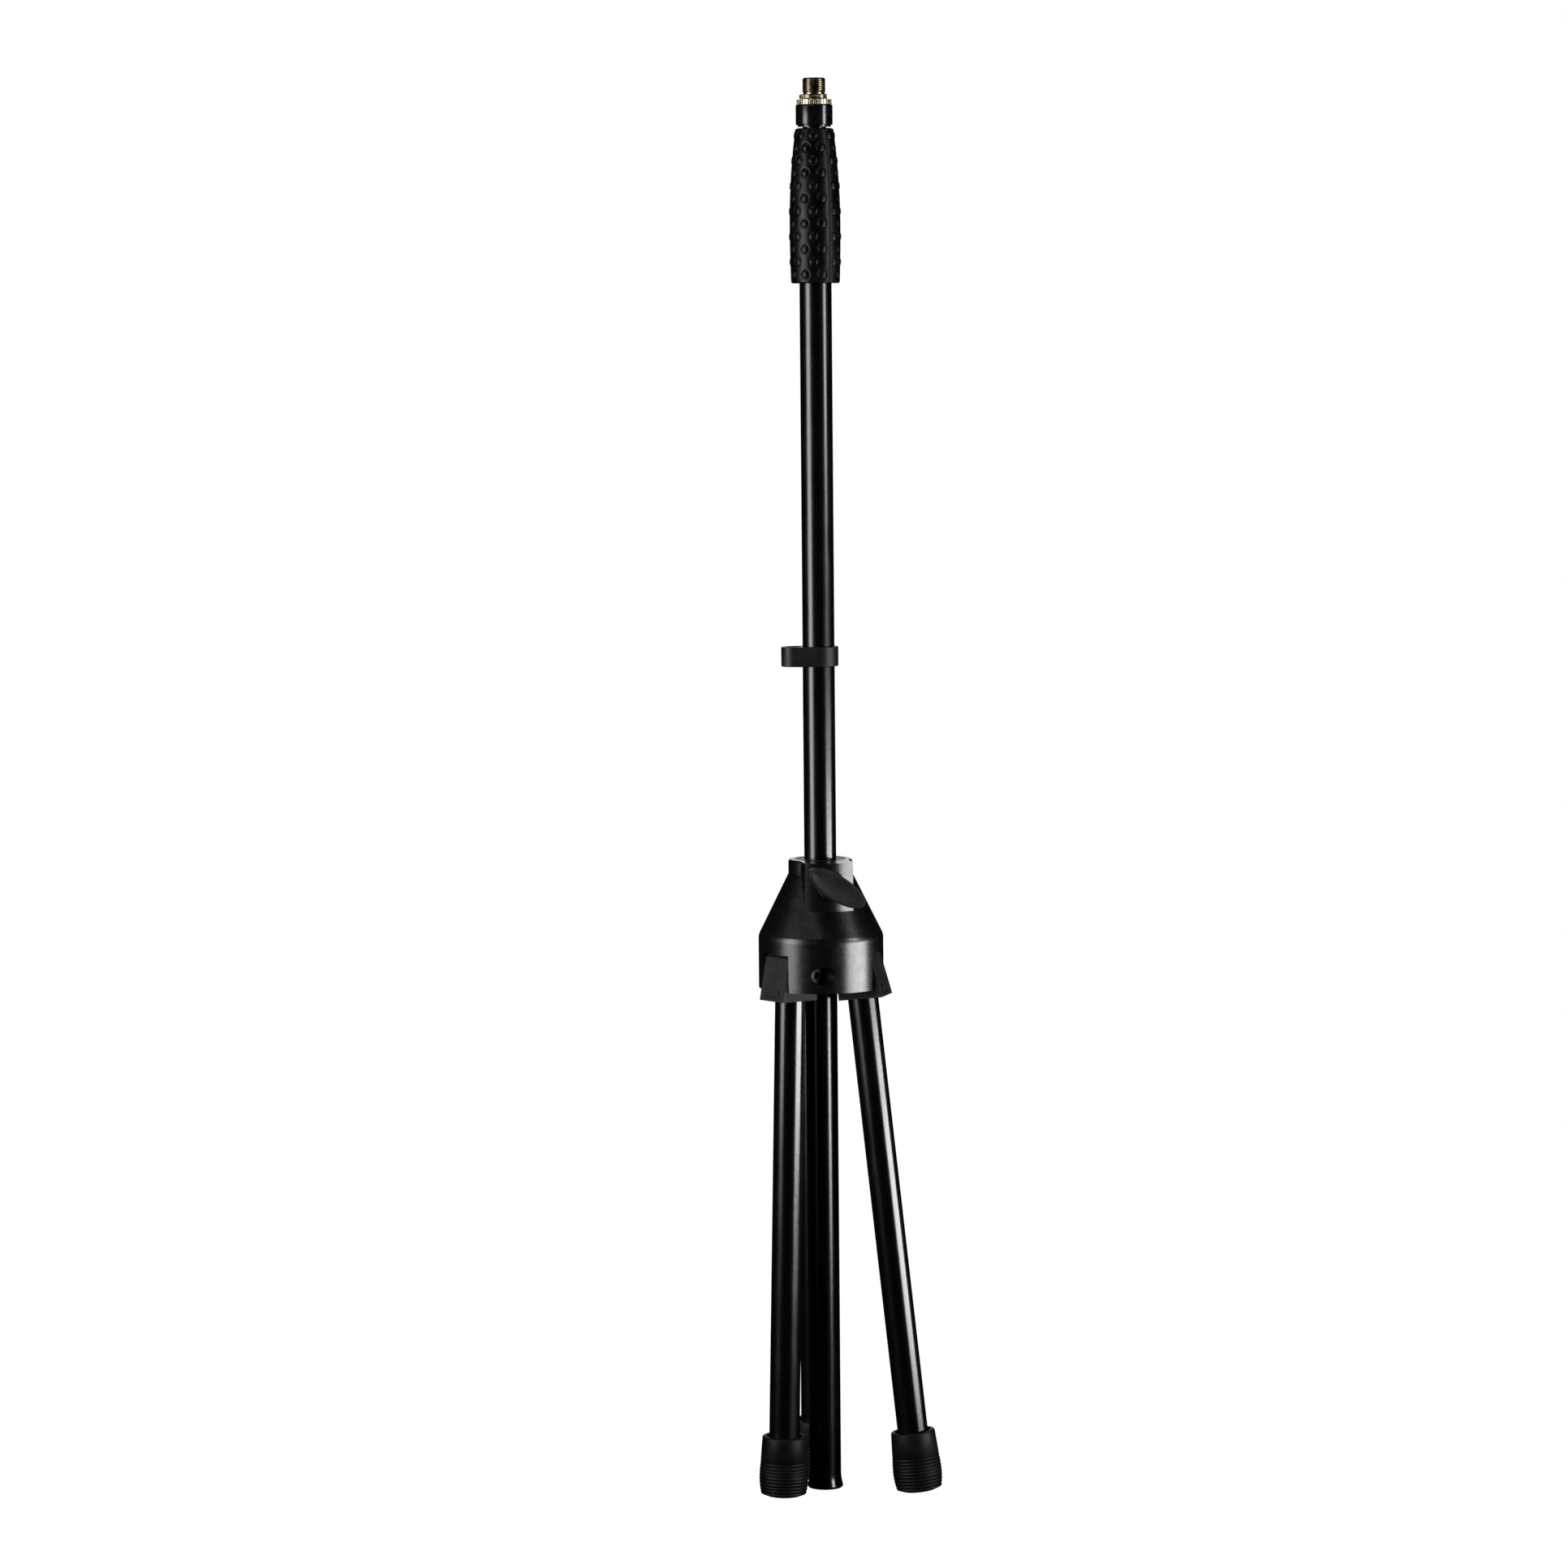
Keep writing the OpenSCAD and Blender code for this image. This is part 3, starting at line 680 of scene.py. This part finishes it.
def ribbed_band(name):
    """A node tree: ribs of diamond section, leaning over, evenly spaced round a circle."""
    tree = bpy.data.node_groups.new(name, "GeometryNodeTree")
    for label, kind in (("Ribs", "Int"), ("Radius", "Float"), ("Middle", "Float"), ("Length", "Float"),
                        ("Width", "Float"), ("Lean", "Float"), ("Finish", "Material")):
        tree.interface.new_socket(label, in_out="INPUT", socket_type="NodeSocket" + kind)
    tree.interface.new_socket("Geometry", in_out="OUTPUT", socket_type="NodeSocketGeometry")
    nodes, links = tree.nodes, tree.links
    given = nodes.new("NodeGroupInput").outputs
    circle = nodes.new("GeometryNodeMeshCircle")
    links.new(given["Ribs"], circle.inputs["Vertices"])
    links.new(given["Radius"], circle.inputs["Radius"])
    size = nodes.new("ShaderNodeCombineXYZ")
    links.new(given["Width"], size.inputs["X"])
    links.new(given["Width"], size.inputs["Y"])
    links.new(given["Length"], size.inputs["Z"])
    bar = nodes.new("GeometryNodeMeshCube")
    links.new(size.outputs["Vector"], bar.inputs["Size"])
    diamond = nodes.new("GeometryNodeTransform")
    diamond.inputs["Rotation"].default_value = (0, 0, math.pi / 4)
    links.new(bar.outputs["Mesh"], diamond.inputs["Geometry"])
    index = nodes.new("GeometryNodeInputIndex")
    share = nodes.new("ShaderNodeMath")
    share.operation = "DIVIDE"
    links.new(index.outputs["Index"], share.inputs[0])
    links.new(given["Ribs"], share.inputs[1])
    angle = nodes.new("ShaderNodeMath")
    angle.operation = "MULTIPLY"
    angle.inputs[1].default_value = 2 * math.pi
    links.new(share.outputs["Value"], angle.inputs[0])
    facing = nodes.new("ShaderNodeCombineXYZ")
    links.new(given["Lean"], facing.inputs["X"])
    links.new(angle.outputs["Value"], facing.inputs["Z"])
    ribs = nodes.new("GeometryNodeInstanceOnPoints")
    links.new(circle.outputs["Mesh"], ribs.inputs["Points"])
    links.new(diamond.outputs["Geometry"], ribs.inputs["Instance"])
    links.new(facing.outputs["Vector"], ribs.inputs["Rotation"])
    up = nodes.new("ShaderNodeCombineXYZ")
    links.new(given["Middle"], up.inputs["Z"])
    lifted = nodes.new("GeometryNodeTransform")
    links.new(ribs.outputs["Instances"], lifted.inputs["Geometry"])
    links.new(up.outputs["Vector"], lifted.inputs["Translation"])
    real = nodes.new("GeometryNodeRealizeInstances")
    links.new(lifted.outputs["Geometry"], real.inputs["Geometry"])
    finish = nodes.new("GeometryNodeSetMaterial")
    links.new(real.outputs["Geometry"], finish.inputs["Geometry"])
    links.new(given["Finish"], finish.inputs["Material"])
    links.new(finish.outputs["Geometry"], nodes.new("NodeGroupOutput").inputs["Geometry"])
    return tree


def made_by(tree, name, values):
    """Runs a node tree with the given named inputs and keeps the result as a plain mesh."""
    piece = new_piece(name, bpy.data.meshes.new(name))
    maker = piece.modifiers.new(tree.name, "NODES")
    maker.node_group = tree
    for socket in tree.interface.items_tree:
        if socket.in_out == "INPUT":
            maker[socket.identifier] = values[socket.name]
    bpy.context.view_layer.update()
    made = bpy.data.meshes.new_from_object(piece.evaluated_get(bpy.context.evaluated_depsgraph_get()))
    piece.modifiers.clear()
    piece.data = made
    return piece


knurl = made_by(ribbed_band("ribs round a ring"), "flange_knurl", {
    "Ribs": 64, "Radius": flange_r - 0.12 * MM, "Middle": (adapter_low.z + flange_top) / 2,
    "Length": 2.3 * MM, "Width": 0.42 * MM, "Lean": math.radians(28), "Finish": plate})
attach(knurl, "adapter")


# ---------------------------------------------------------------- clamp knob and screw
# An oval knob of dark-grey plastic, dished on its face, is moulded round the head of the steel clamp screw.
# Its back draws in to a round neck that clears the hub's boss.

knob_z = joints["knob_turn"]["pos_m"][2]
knob_low, knob_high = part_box("clamp_knob")
knob_face = -knob_low.y          # distances from the mast's axis, along -Y
knob_foot = -knob_high.y
knob_back = 47 * MM
knob_long = 22.2 * MM
knob_short = 8.6 * MM
knob_tilt = math.radians(33)
foot_r = 10 * MM
neck_r = 7.8 * MM
rim_round = 1.3 * MM
dish_steps = ((1.9, 0.08), (2.6, 0.35), (3.6, 0.75), (5.0, 1.15), (6.6, 1.4), (8.2, 1.5), (8.5, 1.5))
knob_steps = 144


def knob_ring(bm, distance, inset=0.0, round_r=0.0, roundness=0.0):
    """A ring of the knob: an oval drawn in by inset, blended towards a circle of radius round_r."""
    ring = []
    for i in range(knob_steps):
        turn = 2 * math.pi * i / knob_steps
        oval = Vector(((knob_long - inset) * math.cos(turn), (knob_short - inset) * math.sin(turn)))
        point = oval.lerp(Vector((round_r * math.cos(turn), round_r * math.sin(turn))), roundness)
        x = point.x * math.cos(knob_tilt) + point.y * math.sin(knob_tilt)
        z = point.y * math.cos(knob_tilt) - point.x * math.sin(knob_tilt)
        ring.append(bm.verts.new((x, -distance, knob_z + z)))
    return ring


bm = bmesh.new()
rings = [knob_ring(bm, knob_foot, round_r=foot_r, roundness=1),
         knob_ring(bm, 38 * MM, round_r=8.4 * MM, roundness=1),
         knob_ring(bm, 44.5 * MM, round_r=neck_r, roundness=1),
         knob_ring(bm, 46.6 * MM, 0.6 * MM, neck_r, 0.85),
         knob_ring(bm, knob_back + 0.05 * MM, 1.2 * MM, neck_r, 0.3),
         knob_ring(bm, knob_back + 0.3 * MM, 0.8 * MM),
         knob_ring(bm, knob_back + 1.1 * MM, 0.15 * MM),
         knob_ring(bm, knob_back + 2.5 * MM),
         knob_ring(bm, knob_face - 1.6 * MM)]
for k in range(1, 6):
    turn = k * math.pi / 10
    drop, inset = rim_round * (1 - math.sin(turn)), rim_round * (1 - math.cos(turn))
    rings.append(knob_ring(bm, knob_face - drop, inset))
for inset, drop in dish_steps:
    rings.append(knob_ring(bm, knob_face - drop * MM, inset * MM))
for ring_here, ring_above in zip(rings, rings[1:]):
    for i in range(knob_steps):
        j = (i + 1) % knob_steps
        bm.faces.new((ring_here[i], ring_here[j], ring_above[j], ring_above[i]))
bm.faces.new(rings[0])
bm.faces.new(rings[-1])
bmesh.ops.recalc_face_normals(bm, faces=bm.faces)
mesh = bpy.data.meshes.new("oval_knob")
bm.to_mesh(mesh)
bm.free()
smooth_shaded(mesh, 40)
knob = new_piece("oval_knob", mesh)
set_material(knob, dark_plastic)
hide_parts("clamp_knob")
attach(knob, "knob")
set_material(frame["nodes"]["clamp_screw"], zinc)


# ---------------------------------------------------------------- cable clip
# A flexible band of matte black plastic that snaps round the mast and ends in an eye for the cable. Its
# edges are rounded so that they don't cut the cable's jacket.

clip = softened_copy("cable_clip", "clip_band", 0.6 * MM)
clip_plastic = moulded_plastic("clip_matte_plastic", (0.004, 0.004, 0.004), 0.42, 1800, 0.00005,
                               specular=0.2)
set_material(clip, clip_plastic)
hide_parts("cable_clip")
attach(clip, "cable_clip")


# ---------------------------------------------------------------- floor, lights and camera
# A plain pale studio: a wide white floor, two upright softboxes beside the camera, a soft light above and
# behind, and a long lens a little above the stand's clamp.

def studio_white():
    material, nodes, links, shader, place = finish_material("studio_floor", (0, 0, 0), 1.0, specular=0)
    shader.inputs["Emission Color"].default_value = (1, 1, 1, 1)
    shader.inputs["Emission Strength"].default_value = 1.0
    return material


bpy.ops.mesh.primitive_circle_add(vertices=96, radius=60, fill_type="NGON", location=(0, 0, 0))
floor = bpy.context.object
floor.name = "studio_floor"
floor.data.materials.append(studio_white())
floor.visible_glossy = False
floor.visible_diffuse = False


def softbox(name, azimuth, distance, height, size, power, aim=0.45):
    """A rectangular light at an azimuth round the stand, turned to face it."""
    light = bpy.data.lights.new(name, "AREA")
    light.shape = "RECTANGLE"
    light.size, light.size_y = size
    light.energy = power
    lamp = bpy.data.objects.new(name, light)
    turn = math.radians(azimuth)
    lamp.location = (distance * math.sin(turn), -distance * math.cos(turn), height)
    lamp.rotation_euler = (Vector((0, 0, aim)) - lamp.location).to_track_quat("-Z", "Y").to_euler()
    lamp.visible_camera = False
    bpy.context.scene.collection.objects.link(lamp)


camera_azimuth = -11.763
softbox("right_softbox", camera_azimuth + 70, 1.6, 0.16, (1.2, 0.36), 28, aim=0.16)
softbox("right_softbox_upper", camera_azimuth + 66, 1.6, 1.0, (0.45, 0.7), 12, aim=1.0)
softbox("left_softbox", camera_azimuth - 58, 1.6, 0.66, (0.75, 1.1), 19, aim=0.66)
softbox("left_softbox_middle", camera_azimuth - 58, 1.6, 0.64, (0.75, 0.3), 16, aim=0.64)
softbox("high_light", camera_azimuth - 25, 1.2, 2.4, (1.2, 0.5), 8, aim=0.5)
softbox("rear_card", camera_azimuth + 180, 2.2, 1.3, (1.1, 1.8), 9, aim=0.9)
bpy.data.objects["rear_card"].visible_diffuse = False

world = bpy.data.worlds.new("studio")
world.use_nodes = True
nodes, links = world.node_tree.nodes, world.node_tree.links
seen = nodes["Background"]
seen.inputs["Color"].default_value = (1, 1, 1, 1)
seen.inputs["Strength"].default_value = 1.0
dim = nodes.new("ShaderNodeBackground")
dim.inputs["Color"].default_value = (1, 1, 1, 1)
dim.inputs["Strength"].default_value = 0.006
path = nodes.new("ShaderNodeLightPath")
either = nodes.new("ShaderNodeMixShader")
links.new(path.outputs["Is Camera Ray"], either.inputs["Fac"])
links.new(dim.outputs["Background"], either.inputs[1])
links.new(seen.outputs["Background"], either.inputs[2])
links.new(either.outputs["Shader"], nodes["World Output"].inputs["Surface"])
bpy.context.scene.world = world
bpy.context.scene.view_settings.view_transform = "Standard"

camera_distance = 3.457
camera_height = 0.8114
camera_pitch = 5.29          # degrees down
camera_yaw = 0.406           # degrees to the left of the mast
camera_roll = -0.512
lens = bpy.data.cameras.new("camera")
lens.sensor_width = 36
lens.lens = 115.97
lens.clip_end = 200
camera = bpy.data.objects.new("camera", lens)
turn = math.radians(camera_azimuth)
camera.location = (camera_distance * math.sin(turn), -camera_distance * math.cos(turn), camera_height)
heading = Matrix.Rotation(turn + math.radians(camera_yaw), 4, "Z")
tilt = Matrix.Rotation(math.radians(90 - camera_pitch), 4, "X")
roll = Matrix.Rotation(math.radians(camera_roll), 4, "Z")
camera.matrix_world = Matrix.Translation(camera.location) @ heading @ tilt @ roll
bpy.context.scene.collection.objects.link(camera)
bpy.context.scene.camera = camera
